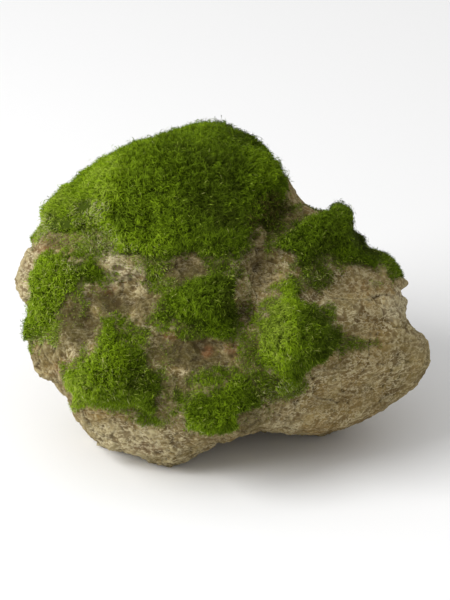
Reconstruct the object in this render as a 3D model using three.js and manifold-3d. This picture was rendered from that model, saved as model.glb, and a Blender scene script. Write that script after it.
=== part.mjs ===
// A mossy rock: one broken stone with cushions of moss growing on its ledges and over its crown.
// Millimetres, +Z up. The stone stands at z = 0 on a flat broken face, with its picture side towards -Y.
//
// Points of the form are (x, u, w): x across the picture, u up the picture and w out of it towards the
// viewer, from the middle of the stone. One matrix at the end stands that frame up in the world.
import * as THREE from "three";
import { ImprovedNoise } from "three/addons/math/ImprovedNoise.js";
import { mergeVertices } from "three/addons/utils/BufferGeometryUtils.js";
import Module from "manifold-3d";

// Driving dimensions of the stone
const FRONT_DEPTH = 66;
const BACK_DEPTH = 66;
const BOXINESS = 2.6; // 2 makes an ellipsoid of the form, and more makes it squarer
const VIEW_TILT = THREE.MathUtils.degToRad(25); // the outline is what is seen from this far above level
const LEAN = 0.3; // how far each mm of height sets the form back, along the line of sight
const MIDDLE_HEIGHT = 63; // of the middle of the stone above the face that it stands on
const MESH_DETAIL = 15;
const FRONT_CROWDING = 0.16; // draws the mesh's points towards the picture side

// Driving dimensions of the moss
const SEAT_GAP = 0.3; // between a cushion and the stone
const RIM_THICKNESS = 1.2;
const RIM_WIDTH = 8; // how far in from its edge a cushion reaches its full thickness
const PAD_BLEND = 2.5; // rounds the corners where the pads of a cushion meet
const EDGE_WANDER = 2; // how far noise moves a cushion's edge
const EDGE_WAVE = 13;
const CUSHION_GAP = 3.5; // bare stone left between two cushions
const EDGE_SLACK = 0.6; // how far outside its edge a cushion's corners may lie

// The stone's own outline in the picture, anticlockwise from the notch at its right end, as (x, u)
const OUTLINE = [
  [88, 1.5], [92.5, 8.5], [87.5, 14.5], [71.5, 25.5], [61, 36], [55, 44], [41, 44.5], [34, 54.5], [27, 65],
  [18, 73.5], [6.5, 81], [-5, 83.5], [-21.5, 79.5], [-44, 71.5], [-64, 60], [-79.5, 46.5], [-93, 31.5],
  [-100.5, 19.5], [-104.5, 4.5], [-96.5, -4], [-99, -18.5], [-96.5, -33], [-87.5, -40], [-77.5, -48],
  [-70.5, -62], [-61.5, -72.5], [-45.5, -77.5], [-25.5, -82], [-17.5, -76.5], [-2, -70], [18, -64],
  [31, -66], [44, -67], [63, -62.5], [74.5, -58], [85, -50.5], [96.5, -44.5], [103, -31.5], [103.5, -24],
  [98, -15.5], [93.5, -8.5],
].map(([x, u]) => new THREE.Vector2(x, u));
const OUTLINE_REACH = [0.15, 0.75]; // the outline's corners fade out over this range of |w| on the unit form
const OUTLINE_SMOOTHING = 28; // degrees to each side

// Ledges (raised) and hollows (negative): where they are, their reach across, up and down, and their height
const RELIEF = [
  { at: [-30, 50], reach: [52, 36, 20], height: 10 }, // brow of the crown
  { at: [16, 52], reach: [24, 20, 14], height: 5 },
  { at: [-80, 10], reach: [22, 15, 22], height: 6 }, // left flank
  { at: [-56, -34], reach: [25, 22, 20], height: 10 }, // lower left ledge
  { at: [0, -49], reach: [28, 11, 16], height: 9 }, // lower middle ledge
  { at: [35, -15], reach: [23, 22, 28], height: 11 }, // right middle ledge
  { at: [50, 33], reach: [26, 16, 16], height: 7 }, // right shoulder
  { at: [-6, 0], reach: [22, 15, 13], height: 7 }, // hump in the middle
  { at: [-50, -72], reach: [30, 9, 9], height: 4 }, // lip above the foot
  { at: [76, -11], reach: [22, 10, 9], height: 4 }, // courses of the bare right face
  { at: [80, -35], reach: [26, 10, 12], height: 4 },
  { at: [-46, 8], reach: [22, 11, 15], height: -11 }, // hollow under the brow
  { at: [-17, 20], reach: [13, 7, 7], height: -6 },
  { at: [21, 17], reach: [15, 14, 18], height: -9 }, // hollow below the notch
  { at: [10, -7], reach: [9, 7, 6], height: -11 }, // the deep hole
  { at: [-70, -13], reach: [15, 11, 11], height: -7 }, // gully on the left
  { at: [-14, -27], reach: [26, 9, 9], height: -11 }, // hollow above the lower ledges
  { at: [75, -22], reach: [26, 4, 5], height: -5 }, // crack across the right face
  { at: [66, 6], reach: [18, 12, 10], height: -4 },
  { at: [38, -44], behind: true, reach: [60, 36, 34], height: 15 }, // heel that the stone rests back on
  { at: [-40, -42], behind: true, reach: [48, 32, 30], height: 11 },
];

// Flat breaks that trim the form: the way they face, and their distance from the middle
const BREAKS = [
  { faces: [0.45, 0.3, 0.84], distance: 63 }, // bare right face
  { faces: [0.5, -0.5, 0.7], distance: 76 }, // undercut at the lower right
  { faces: [-0.35, -0.75, 0.55], distance: 80 }, // foot at the lower left
  { faces: [0.25, 0.6, -0.76], distance: 60 },
  { faces: [-0.55, 0.25, -0.8], distance: 64 },
  { faces: [0.75, 0.05, -0.66], distance: 74 },
  { faces: [-0.2, -0.25, -0.95], distance: 63 },
  { faces: [-0.85, -0.1, -0.5], distance: 84 },
  { faces: [0.45, -0.5, -0.74], distance: 74 },
];
const BREAK_ROUNDING = 4;

// Roughness of the stone: size of the lumps, and how far they stand out
const LUMPS = [
  { size: 34, height: 3 },
  { size: 16, height: 1.6 },
  { size: 8, height: 0.7 },
];

// Cushions: overlapping round pads as [x, u, radius], on the picture side or behind
const CUSHIONS = [
  {
    name: "moss_crown",
    thickness: 6.5,
    pads: [
      [-32, 58, 39], [-70, 50, 23], [1, 66, 27], [18, 59, 19], [-41, 33, 16], [-19, 36, 17], [5, 38, 15],
      [17, 44, 10], [-85, 38, 9], [-5, 28, 8], [-4, 84, 31], [-36, 76, 33], [-66, 58, 25], [-84, 42, 12],
    ],
    padsBehind: [[-40, 64, 26], [-8, 70, 22]],
  },
  {
    name: "moss_left_flank",
    thickness: 5.5,
    pads: [[-77, 18, 10], [-64, 15, 7], [-86, 10, 14], [-90, -5, 12], [-95, -15, 10], [-76, 2, 7]],
  },
  {
    name: "moss_lower_left",
    thickness: 6,
    pads: [
      [-54, -15, 8], [-52, -28, 13], [-42, -33, 12], [-67, -40, 13], [-55, -46, 15], [-38, -47, 10],
      [-35, -54, 7],
    ],
  },
  {
    name: "moss_lower_middle",
    thickness: 5.5,
    pads: [[5, -43, 11], [-5, -52, 13], [-19, -57, 9], [11, -49, 9]],
  },
  {
    name: "moss_middle",
    thickness: 5,
    pads: [[-5, 2, 15], [-19, -2, 11], [0, -11, 10], [3, 11, 8], [-30, -8, 5]],
  },
  {
    name: "moss_right_middle",
    thickness: 6,
    pads: [[35, -7, 14], [27, -20, 14], [45, -20, 13], [25, -36, 12], [35, -40, 8], [37, 5, 7], [58, -22, 6]],
  },
  {
    name: "moss_right_shoulder",
    thickness: 5.5,
    pads: [
      [48, 35, 15], [38, 28, 12], [61, 28, 12], [71, 22, 8], [80, 15, 5], [43, 17, 7], [31, 37, 8],
      [50, 41, 16], [62, 32, 12], [54, 46, 16], [62, 38, 14], [68, 33, 10], [77, 22, 6],
    ],
  },
  {
    name: "moss_back",
    thickness: 5.5,
    pads: [],
    padsBehind: [[38, 4, 17], [20, -8, 14], [50, -10, 10]],
  },
];

const noise = new ImprovedNoise();
const NOISE_START = new THREE.Vector3(9.7, 4.1, 6.3);

function noiseAt(point, size) {
  const place = NOISE_START.clone().addScaledVector(point, 1 / size);
  return noise.noise(place.x, place.y, place.z);
}

// Distance from the middle to the outline at every whole degree, sharp and smoothed
const FULL_TURN = 360;

function outlineDistance(degrees) {
  const way = new THREE.Vector2(1, 0).rotateAround(new THREE.Vector2(), THREE.MathUtils.degToRad(degrees));
  for (let i = 0; i < OUTLINE.length; i++) {
    const start = OUTLINE[i];
    const edge = OUTLINE[(i + 1) % OUTLINE.length].clone().sub(start);
    const along = way.cross(start) / edge.cross(way);
    const distance = start.clone().addScaledVector(edge, along).dot(way);
    if (along >= 0 && along <= 1 && distance > 0) return distance;
  }
  throw new Error(`the outline is open at ${degrees} degrees`);
}

const sharpOutline = Array.from({ length: FULL_TURN }, (_, degrees) => outlineDistance(degrees));
const smoothOutline = sharpOutline.map((_, degrees) => {
  let sum = 0;
  for (let turn = -OUTLINE_SMOOTHING; turn <= OUTLINE_SMOOTHING; turn++) {
    sum += sharpOutline[(degrees + turn + FULL_TURN) % FULL_TURN];
  }
  return sum / (2 * OUTLINE_SMOOTHING + 1);
});

function outlineAt(x, u, sharpness) {
  const degrees = (THREE.MathUtils.radToDeg(Math.atan2(u, x)) + FULL_TURN) % FULL_TURN;
  const low = Math.floor(degrees) % FULL_TURN;
  const high = (low + 1) % FULL_TURN;
  const between = (table) => THREE.MathUtils.lerp(table[low], table[high], degrees - Math.floor(degrees));
  return THREE.MathUtils.lerp(between(smoothOutline), between(sharpOutline), sharpness);
}

// The plain form, before its ledges and breaks: a superellipsoid whose middle section is the outline
function formPoint(way) {
  const depth = way.z > 0 ? FRONT_DEPTH : BACK_DEPTH;
  const sharpness = 1 - THREE.MathUtils.smoothstep(Math.abs(way.z), ...OUTLINE_REACH);
  const inPicture = Math.hypot(way.x, way.y) / outlineAt(way.x, way.y, sharpness);
  const outOfPicture = Math.abs(way.z) / depth;
  const distance = (inPicture ** BOXINESS + outOfPicture ** BOXINESS) ** (-1 / BOXINESS);
  return way.clone().multiplyScalar(distance);
}

// The point of the form at a place in the picture, on its near side or behind
function placeOnForm([x, u], behind = false) {
  const share = Math.min(1, Math.hypot(x, u) / outlineAt(x, u, 0.5));
  const depth = (behind ? -BACK_DEPTH : FRONT_DEPTH) * (1 - share ** BOXINESS) ** (1 / BOXINESS);
  return formPoint(new THREE.Vector3(x, u, depth).normalize());
}

const relief = RELIEF.map((ledge) => ({ ...ledge, centre: placeOnForm(ledge.at, ledge.behind) }));
const breaks = BREAKS.map(({ faces, distance }) => {
  return new THREE.Plane(new THREE.Vector3(...faces).normalize(), -distance);
});

function reliefAt(point) {
  let sum = 0;
  for (const { centre, reach, height } of relief) {
    const [across, up, down] = reach;
    const offset = point.clone().sub(centre);
    const share = Math.hypot(offset.x / across, offset.y / (offset.y > 0 ? up : down), offset.z / across);
    sum += height * (1 - THREE.MathUtils.smoothstep(share, 0.25, 1));
  }
  return sum;
}

// How far the flat breaks take a point of the form in, with a rounded edge
function brokenOff(point) {
  let most = 0;
  for (const plane of breaks) {
    const facing = plane.normal.dot(point) / point.length();
    const beyond = facing > 0 ? plane.distanceToPoint(point) / facing : -BREAK_ROUNDING;
    const eased = Math.max(0, beyond + BREAK_ROUNDING) ** 2 / (4 * BREAK_ROUNDING);
    most = Math.max(most, beyond > BREAK_ROUNDING ? beyond : eased);
  }
  return most;
}

function stoneDistance(way) {
  const point = formPoint(way);
  const roughness = LUMPS.reduce((sum, { size, height }) => sum + height * noiseAt(point, size), 0);
  return point.length() + reliefAt(point) - brokenOff(point) + roughness;
}

// How far inside a cushion's edge a point of the form is, in mm
const cushions = CUSHIONS.map(({ name, thickness, pads, padsBehind = [] }) => ({
  name,
  thickness,
  pads: [
    ...pads.map(([x, u, radius]) => ({ centre: placeOnForm([x, u]), radius })),
    ...padsBehind.map(([x, u, radius]) => ({ centre: placeOnForm([x, u], true), radius })),
  ],
}));

function insideCushion({ pads }, point) {
  const blend = pads.reduce((sum, { centre, radius }) => {
    return sum + Math.exp((radius - point.distanceTo(centre)) / PAD_BLEND);
  }, 0);
  return PAD_BLEND * Math.log(blend) + EDGE_WANDER * noiseAt(point, EDGE_WAVE);
}

// Slides a direction of the mesh along the form until it lies on a cushion's edge, if it is near one
const EDGE_SNAP = 2.9;
const SLIDES = 3;
const SLOPE_STEP = 0.01;

function snappedToEdge(way) {
  const insideAt = (direction, cushion) => insideCushion(cushion, formPoint(direction));
  const nearest = cushions
    .map((cushion) => ({ cushion, off: Math.abs(insideAt(way, cushion)) }))
    .sort((a, b) => a.off - b.off)[0];
  if (nearest.off > EDGE_SNAP) return way;
  const slid = way.clone();
  for (let i = 0; i < SLIDES; i++) {
    const inside = insideAt(slid, nearest.cushion);
    const across = new THREE.Vector3(-slid.y, slid.x, 0).normalize();
    const slope = new THREE.Vector3();
    for (const tangent of [across, across.clone().cross(slid)]) {
      const ahead = insideAt(slid.clone().addScaledVector(tangent, SLOPE_STEP).normalize(), nearest.cushion);
      slope.addScaledVector(tangent, (ahead - inside) / SLOPE_STEP);
    }
    slid.addScaledVector(slope, -inside / slope.lengthSq()).normalize();
  }
  return slid;
}

// One net of directions serves the stone and its cushions, so that their faces lie over each other
const THINNEST_FACE = 0.15; // share of a face's own size that it keeps when its corners slide

function makeNet() {
  const sphere = new THREE.IcosahedronGeometry(1, MESH_DETAIL);
  sphere.deleteAttribute("normal");
  sphere.deleteAttribute("uv");
  const merged = mergeVertices(sphere);
  const points = merged.getAttribute("position");
  const even = Array.from({ length: points.count }, (_, i) => {
    const way = new THREE.Vector3().fromBufferAttribute(points, i);
    way.z += FRONT_CROWDING;
    return way.normalize();
  });
  const corners = Array.from(merged.index.array);
  const faces = Array.from({ length: corners.length / 3 }, (_, i) => corners.slice(3 * i, 3 * i + 3));
  const ways = even.map((way) => snappedToEdge(way));
  unsquash(ways, even, faces);
  return { ways, faces };
}

// Puts back the corners of every face that sliding has squashed or turned over
function unsquash(ways, even, faces) {
  const sizeIn = (list, [a, b, c]) => list[a].dot(list[b].clone().cross(list[c]));
  const squashed = (face) => sizeIn(ways, face) < THINNEST_FACE * sizeIn(even, face);
  for (let bad = faces.filter(squashed); bad.length > 0; bad = faces.filter(squashed)) {
    for (const corner of bad.flat()) ways[corner] = even[corner];
  }
}

const net = makeNet();
const formPoints = net.ways.map(formPoint);
const stoneDistances = net.ways.map(stoneDistance);

// Stands the picture's frame up in the world, leaning back
const across = new THREE.Vector3(1, 0, 0);
const towardsViewer = new THREE.Vector3(0, -Math.cos(VIEW_TILT), Math.sin(VIEW_TILT));
const upPicture = towardsViewer.clone().cross(across).addScaledVector(towardsViewer, -LEAN);
const standUp = new THREE.Matrix4().makeBasis(across, upPicture, towardsViewer);
standUp.setPosition(0, 0, MIDDLE_HEIGHT);

function geometryOf(points, faces) {
  const geometry = new THREE.BufferGeometry().setFromPoints(points).setIndex(faces.flat());
  geometry.applyMatrix4(standUp);
  return geometry;
}

// Solids are joined and cut as manifolds, and come back as geometry
const wasm = await Module();
wasm.setup();

function manifoldOf(geometry) {
  return new wasm.Manifold(
    new wasm.Mesh({
      numProp: 3,
      vertProperties: new Float32Array(geometry.getAttribute("position").array),
      triVerts: new Uint32Array(geometry.index.array),
    }),
  );
}

function geometryFrom(manifold) {
  const { vertProperties, triVerts } = manifold.getMesh();
  return new THREE.BufferGeometry()
    .setAttribute("position", new THREE.BufferAttribute(vertProperties, 3))
    .setIndex(new THREE.BufferAttribute(triVerts, 1));
}

// The stone: the whole form, cut off flat at the face that it stands on
function makeStone() {
  const points = net.ways.map((way, i) => way.clone().multiplyScalar(stoneDistances[i]));
  const whole = geometryOf(points, net.faces);
  const span = 4 * BACK_DEPTH;
  const ground = new THREE.BoxGeometry(span, span, span).translate(0, 0, -span / 2);
  ground.deleteAttribute("normal");
  ground.deleteAttribute("uv");
  return geometryFrom(manifoldOf(whole).subtract(manifoldOf(mergeVertices(ground))));
}

// The faces of the net that each cushion covers: clear of other cushions, in one sheet with no pinched corner
function facesOf(cushion) {
  const inside = formPoints.map((point) => insideCushion(cushion, point));
  const earlier = cushions.slice(0, cushions.indexOf(cushion));
  const covered = formPoints.map((point, i) => {
    const clear = earlier.every((other) => insideCushion(other, point) < -CUSHION_GAP);
    return clear && inside[i] > -EDGE_SLACK;
  });
  const kept = net.faces.filter((face) => face.every((corner) => covered[corner]));
  return { inside, faces: withoutPinches(kept) };
}

// Groups faces that share an edge, largest group first
function sheetsOf(faces) {
  const byEdge = new Map();
  faces.forEach((face, i) =>
    face.forEach((corner, k) => {
      const key = [corner, face[(k + 1) % 3]].sort((a, b) => a - b).join();
      byEdge.set(key, [...(byEdge.get(key) ?? []), i]);
    }),
  );
  const group = faces.map((_, i) => i);
  const leader = (i) => (group[i] === i ? i : leader(group[i]));
  for (const pair of byEdge.values()) {
    if (pair.length === 2) group[leader(pair[0])] = leader(pair[1]);
  }
  const sheets = new Map();
  faces.forEach((face, i) => sheets.set(leader(i), [...(sheets.get(leader(i)) ?? []), face]));
  return [...sheets.values()].sort((a, b) => b.length - a.length);
}

function withoutPinches(faces) {
  let sheet = sheetsOf(faces)[0];
  for (;;) {
    const dropped = new Set();
    const around = new Map();
    for (const face of sheet) {
      for (const corner of face) around.set(corner, [...(around.get(corner) ?? []), face]);
    }
    for (const fans of [...around.values()].map(sheetsOf)) {
      fans.slice(1).flat().forEach((face) => dropped.add(face));
    }
    if (dropped.size === 0) return sheet;
    sheet = sheetsOf(sheet.filter((face) => !dropped.has(face)))[0];
  }
}

// A cushion: a sheet of faces a little off the stone, the same sheet at the tips of the moss, and a rim
function makeCushion(cushion) {
  const { inside, faces } = facesOf(cushion);
  const corners = [...new Set(faces.flat())];
  const place = new Map(corners.map((corner, i) => [corner, i]));
  const roots = corners.map((corner) => stoneDistances[corner] + SEAT_GAP);
  const tips = corners.map((corner, i) => {
    const fullness = THREE.MathUtils.smoothstep(inside[corner], 0, RIM_WIDTH);
    return roots[i] + THREE.MathUtils.lerp(RIM_THICKNESS, cushion.thickness, fullness);
  });
  const pointsAt = (distances) => {
    return corners.map((corner, i) => net.ways[corner].clone().multiplyScalar(distances[i]));
  };

  const top = faces.map((face) => face.map((corner) => place.get(corner) + corners.length));
  const bottom = faces.map((face) => face.map((corner) => place.get(corner)).reverse());
  const directed = new Set(faces.flatMap(([a, b, c]) => [`${a},${b}`, `${b},${c}`, `${c},${a}`]));
  const rim = [...directed]
    .map((edge) => edge.split(",").map(Number))
    .filter(([a, b]) => !directed.has(`${b},${a}`))
    .flatMap(([a, b]) => {
      const [low, next] = [place.get(a), place.get(b)];
      return [[low, next, next + corners.length], [low, next + corners.length, low + corners.length]];
    });
  return geometryOf([...pointsAt(roots), ...pointsAt(tips)], [...bottom, ...top, ...rim]);
}

const STONE = { color: 0x7f7052, roughness: 0.95, metalness: 0 };
const MOSS = { color: 0x4c6413, roughness: 1, metalness: 0 };

function meshNamed(name, geometry, finish) {
  const mesh = new THREE.Mesh(geometry, new THREE.MeshStandardMaterial(finish));
  mesh.name = name;
  return mesh;
}

const mossyRock = new THREE.Group();
mossyRock.add(meshNamed("rock", makeStone(), STONE));
for (const cushion of cushions) {
  mossyRock.add(meshNamed(cushion.name, makeCushion(cushion), MOSS));
}

// The origin is under the middle of the whole, so every piece moves there together
const middle = new THREE.Box3().setFromObject(mossyRock).getCenter(new THREE.Vector3());
for (const mesh of mossyRock.children) {
  mesh.position.set(-middle.x, -middle.y, 0);
}

export default mossyRock;
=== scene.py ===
import math

import bpy
import numpy as np
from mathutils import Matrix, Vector, noise
from mathutils.kdtree import KDTree


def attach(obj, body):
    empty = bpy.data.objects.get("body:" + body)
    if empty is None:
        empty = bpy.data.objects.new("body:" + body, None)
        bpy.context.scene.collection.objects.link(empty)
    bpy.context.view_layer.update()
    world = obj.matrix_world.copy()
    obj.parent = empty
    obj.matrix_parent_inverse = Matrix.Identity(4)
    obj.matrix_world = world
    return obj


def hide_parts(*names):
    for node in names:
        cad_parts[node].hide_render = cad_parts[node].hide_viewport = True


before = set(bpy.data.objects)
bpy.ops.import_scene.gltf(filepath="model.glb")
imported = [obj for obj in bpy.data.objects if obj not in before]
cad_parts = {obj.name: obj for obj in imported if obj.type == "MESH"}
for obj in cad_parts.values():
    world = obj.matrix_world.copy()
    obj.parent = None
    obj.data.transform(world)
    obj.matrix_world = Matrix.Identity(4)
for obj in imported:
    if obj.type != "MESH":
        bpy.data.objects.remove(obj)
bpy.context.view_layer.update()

# The seed behind noise vectors, so that every run gives the same stone and moss
NOISE_SEED = 3
noise.seed_set(NOISE_SEED)

# Lengths are in metres, as in the frame, and MM turns millimetres into them.
MM = 0.001

# The photo's view: the middle of the stone, and how far above level the camera looks from
MIDDLE = np.array([0.0, 8.5, 63.0]) * MM
VIEW_TILT = math.radians(25)
ACROSS = np.array([1.0, 0.0, 0.0])
UPWARD = np.array([0.0, math.sin(VIEW_TILT), math.cos(VIEW_TILT)])
TOWARD = np.array([0.0, -math.cos(VIEW_TILT), math.sin(VIEW_TILT)])

# Places in the picture are (across, up, reach across, reach up, amount), in millimetres from the middle.
# Most mark only the side that the picture shows, and fade out between these places behind the middle.
FADE_BEHIND = (-30, -14)

# Stone: how long its triangles' sides may be, by what shows of it, and where the picture shows it cut back
STONE_SPLIT = 2
STONE_SMOOTHING = 3
EASING = 30
SIDE_IN_FRONT = 1.08 * MM
SIDE_BEHIND = 1.95 * MM
SIDE_UNDER_MOSS = 4.0 * MM
DENTS = [
    (95, 3.5, 7, 3.6, 4.0),
    (24, -70, 18, 6, 2.0),
    (-58, 0, 13, 7, 3.5),
    (-50, 16, 16, 6, -1.5),
    (72, -12, 12, 6, 1.5),
    (71, 38, 11, 12, 4.5),
    (82, 21, 10, 7, -2.4),
    (94, 9.5, 6, 3.5, -2.0),
    (98, -8, 9, 9, 3.8),
    (-94, 33, 9, 6, -2.5),
]
EASED = [(-12, -24, 34, 15, 1.0)]

# Layers that step out of the bare right face: (height on it, how far they stand out, how soon they fade)
LAYERS = [
    (13, 0.6, 6),
    (1, 1.5, 8),
    (-16, 0.8, 4),
    (-19.5, 0.6, 2.5),
    (-23, 0.8, 3.5),
    (-33, 1.0, 6),
    (-44, 1.0, 7),
]
LAYER_SLOPE = 0.09

# Roughness of the stone: how large each kind of feature is, and how far it stands out or in, in millimetres
CHIP_SIZE = 15 * MM
CHIP_LIFT = 2.0
SMALL_CHIP_SIZE = 6.5 * MM
SMALL_CHIP_LIFT = 0.8
RIDGE_SIZE = 13 * MM
RIDGE_LIFT = 1.6
ROUGH_SIZE = 7 * MM
ROUGH_LIFT = 1.2
GRAIN_SIZE = 1.7 * MM
GRAIN_LIFT = 0.3
GRIT_SIZE = 1.1 * MM
GRIT_LIFT = 0.22
PIT_SIZE = 7 * MM
PIT_DEPTH = 1.6
FLAKE_SIZE = 9 * MM
FLAKE_LIFT = 0.5
FLECK_SIZE = 2.2 * MM
FLECK_LIFT = 0.25

# Where the stone has a pale crust, rust, or dark earthy patches that also carry painted shade in its
# recesses
PALE_CRUST = [
    (-99, 18, 8, 24, 0.85),
    (-46, -70, 34, 13, 0.85),
    (-66, 28, 5, 4, 0.9),
    (-57, 22, 7, 5, 1.0),
    (-48, 14, 9, 6, 1.0),
    (-40, 7, 7, 5, 0.8),
    (-57, 11, 10, 5, 1.0),
    (-84, -38, 7, 5, 0.5),
    (30, -62, 12, 8, 0.7),
    (76, 0, 22, 16, 0.45),
    (85, -3, 9, 9, 1.0),
    (95, -10, 8, 18, 0.6),
]
# Dark earthy patches: partly the stone's own colour, partly painted shade in its recesses
DARK_EARTH_AND_SHADE = [
    (-57, -1, 13, 8, 1.0),
    (-72, -13, 15, 17, 1.0),
    (-87, -28, 8, 6, 0.6),
    (-14, -27, 24, 11, 1.0),
    (-33, -24, 9, 11, 0.8),
    (-25, -42, 10, 12, 1.0),
    (-22, 10, 17, 10, 1.0),
    (-37, -3, 8, 10, 0.7),
    (16, 22, 12, 12, 0.45),
    (35, 40, 12, 7, 0.8),
    (-81, 31, 10, 6, 0.8),
    (14, -60, 12, 6, 0.8),
    (-57, -64, 9, 8, 0.6),
    (60, -3, 7, 5, 0.5),
]
RUST = [
    (-26, -17, 4, 3, 1.0),
    (-8, -25, 4, 3.5, 1.0),
    (3, -24, 4, 3, 0.8),
    (-78, -34, 7, 5, 0.7),
    (-56, 8, 8, 4, 0.6),
    (-38, -73, 10, 4, 0.5),
    (75, 6, 14, 5, 0.25),
    (-91, 24, 4, 3, 0.8),
    (-98, 17, 3, 3, 0.6),
    (-100, 7, 3, 3, 0.5),
]

# Moss cushions
SHEET_SPLIT = 4
SHEET_SMOOTHING = 6
SHOOT_LENGTH = 3.9 * MM
SHOOT_HALF_WIDTH = 0.15 * MM
SHOOTS_PER_MM2 = 7.4
THATCH_DEPTH = 2.0 * MM
CLUMP_SPACING = 3.4 * MM
CLUMP_LEAN = 0.38
COMBED_LEAN = 0.35
SWEPT_LEAN = 0.2
LOOSE_LEAN = 0.36
SAG = 0.22
STRAY_SHARE = 0.05
FIRST_SEED = 100
# The direction toward which the moss is tinted brighter: painted light, standing in for the side that faces
# the lamp
PAINTED_LIGHT_SIDE = np.array([-0.9, -0.35, 0.25])

# From so far in from its worn rim a cushion's shoots and mat stay clear of the stone, in millimetres
COVERED_FROM = 3
SHOOT_COVER = 1.2
MAT_COVER = 0.2

MOSS_NODES = [
    "moss_crown",
    "moss_left_flank",
    "moss_lower_left",
    "moss_lower_middle",
    "moss_middle",
    "moss_right_middle",
    "moss_right_shoulder",
    "moss_back",
]

# Moss that grows thinly on the stone itself, and where there is none
FILM_PER_MM2 = 5.0
FILM_FROM_FLOOR = (4, 14)
CLEARED = 12
FILM = [
    (-66, 25, 13, 8, 1.0),
    (-61, 19, 7, 6, 1.0),
    (-69, 31, 9, 4, 1.0),
    (-33, 16, 6, 7, 1.0),
    (-2, 18, 7, 6, 1.0),
    (12, -28, 6, 14, 0.9),
    (2, -35, 10, 4, 0.9),
    (19, -40, 8, 9, 1.0),
    (47, 13, 8, 8, 1.0),
    (50, -8, 5, 6, 1.0),
    (-50, -12, 9, 6, 0.9),
    (-45, -17, 8, 7, 1.0),
    (-84, -13, 5, 9, 0.9),
    (-79, 10, 8, 6, 1.0),
    (27, 35, 7, 6, 0.8),
    (-92, 32, 8, 4, 0.8),
    (-31, 7, 9, 6, 0.9),
    (-15, 4, 9, 4, 0.9),
    (79, 19, 6, 4, 1.0),
    (85, 14, 5, 4, 1.0),
    (-31, -12, 5, 4, 1.0),
    (-16, -16, 8, 3.5, 1.0),
    (-36, -58, 10, 4, 1.0),
    (-71, -50, 4, 4, 1.0),
    (-21, -48, 6, 5, 1.0),
    (-7, -39, 11, 5, 1.0),
    (62, -22, 14, 3.5, 0.7),
]
CLEAR = [
    (47, 51, 16, 6, 1.0),
    (-52, 18, 11, 5, 0.8),
    (-18, 17, 9, 6, 1.0),
    (68, 12, 12, 6, 1.0),
    (28, 20, 8, 7, 0.9),
    (9, 2, 5, 14, 0.8),
    (-79, 31, 9, 3, 0.65),
    (-75, -4, 6, 6, 0.9),
    (-97, 13, 5.5, 14, 0.9),
    (-66, -17, 6, 11, 0.9),
    (-82, -39, 4, 8, 0.9),
    (-33, -27, 5, 8, 0.9),
    (-29, -51, 6, 6, 0.8),
    (-23, -34, 4, 2.5, 0.8),
    (41, 1, 6, 3, 0.8),
    (14, -58, 11, 6, 0.9),
    (-22, -60, 4, 6, 0.8),
]

# How far places on a cushion stand out from its CAD form, in millimetres
SWELLS = [
    (-86, 52, 12, 16, 2.0),
    (-48, 58, 4, 18, -2.4),
    (-53, 42, 5, 5, -2.0),
    (-61, 43, 7, 6, 1.2),
    (-36, 36, 4, 12, -1.6),
    (-22, 28, 9, 6, 1.4),
    (-10, 50, 6, 10, -1.2),
    (8, 60, 5, 12, -1.2),
    (15, 84, 15, 9, -2.4),
    (-20, 72, 10, 8, -1.5),
    (45, 48, 11, 6, -2.5),
    (73, 35, 10, 13, -5.0),
    (31, 58, 6, 11, -0.8),
    (-60, -40, 4, 10, -1.4),
    (-44, -36, 5, 12, -1.4),
    (36, -18, 5, 12, -1.2),
]

# Where a cushion is worn thin or dried to brown, where light or shade is painted into its tint, and where it
# has pale fibres among its shoots
THIN = [
    (-70, 46, 5, 4, 0.8),
    (-82, 38, 9, 4, 0.7),
    (-92, 38, 8, 5, 0.55),
]
DRY = [
    (25, 45, 10, 8, 0.8),
    (20, 37, 9, 5, 0.6),
]
# Spots of painted light: the moss tinted brighter where light falls on it
PAINTED_LIGHT_SPOTS = [
    (-60, 60, 13, 19, 1.0),
    (-84, 46, 18, 16, 0.6),
    (-66, 41, 13, 9, 0.9),
    (-48, 78, 18, 5, 0.5),
    (-6, 84, 14, 6, 0.3),
    (21, 58, 16, 28, 0.8),
    (82, 17, 10, 5, 0.6),
    (7, 31, 10, 6, 0.5),
    (-52, -50, 10, 7, 0.6),
    (28, -43, 12, 8, 1.0),
    (-86, 4, 14, 22, 0.8),
    (-62, -32, 18, 18, 0.7),
    (-72, -46, 14, 12, 1.2),
    (-13, -40, 8, 5, 0.7),
    (26, -13, 11, 23, 1.4),
    (-40, 26, 14, 6, 0.4),
    (40, 8, 6, 7, 0.6),
]
# Spots of painted shade: the moss tinted darker where it lies in shade
PAINTED_SHADE_SPOTS = [
    (-6, 52, 21, 24, 0.8),
    (-34, 58, 14, 9, 0.5),
    (-2, 5, 20, 15, 1.0),
    (54, 36, 24, 14, 0.6),
    (47, -13, 9, 14, 0.5),
    (-38, -42, 8, 14, 0.6),
    (14, -52, 10, 12, 0.5),
]
STRAW = [
    (-68, 43, 12, 7, 1.0),
    (-62, 29, 13, 7, 1.0),
    (-50, 20, 12, 6, 0.8),
    (28, -44, 12, 6, 0.8),
    (-89, -22, 10, 6, 0.9),
    (-62, -57, 18, 5, 0.8),
    (-62, -40, 28, 24, 0.25),
    (34, -15, 18, 26, 0.1),
    (-85, 0, 14, 24, 0.3),
    (-24, -62, 16, 5, 0.5),
    (36, -46, 7, 6, 0.7),
    (-76, 16, 8, 5, 0.5),
    (44, 10, 6, 5, 0.6),
    (-30, 12, 10, 8, 0.5),
    (-92, 36, 9, 6, 0.9),
]

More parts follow.
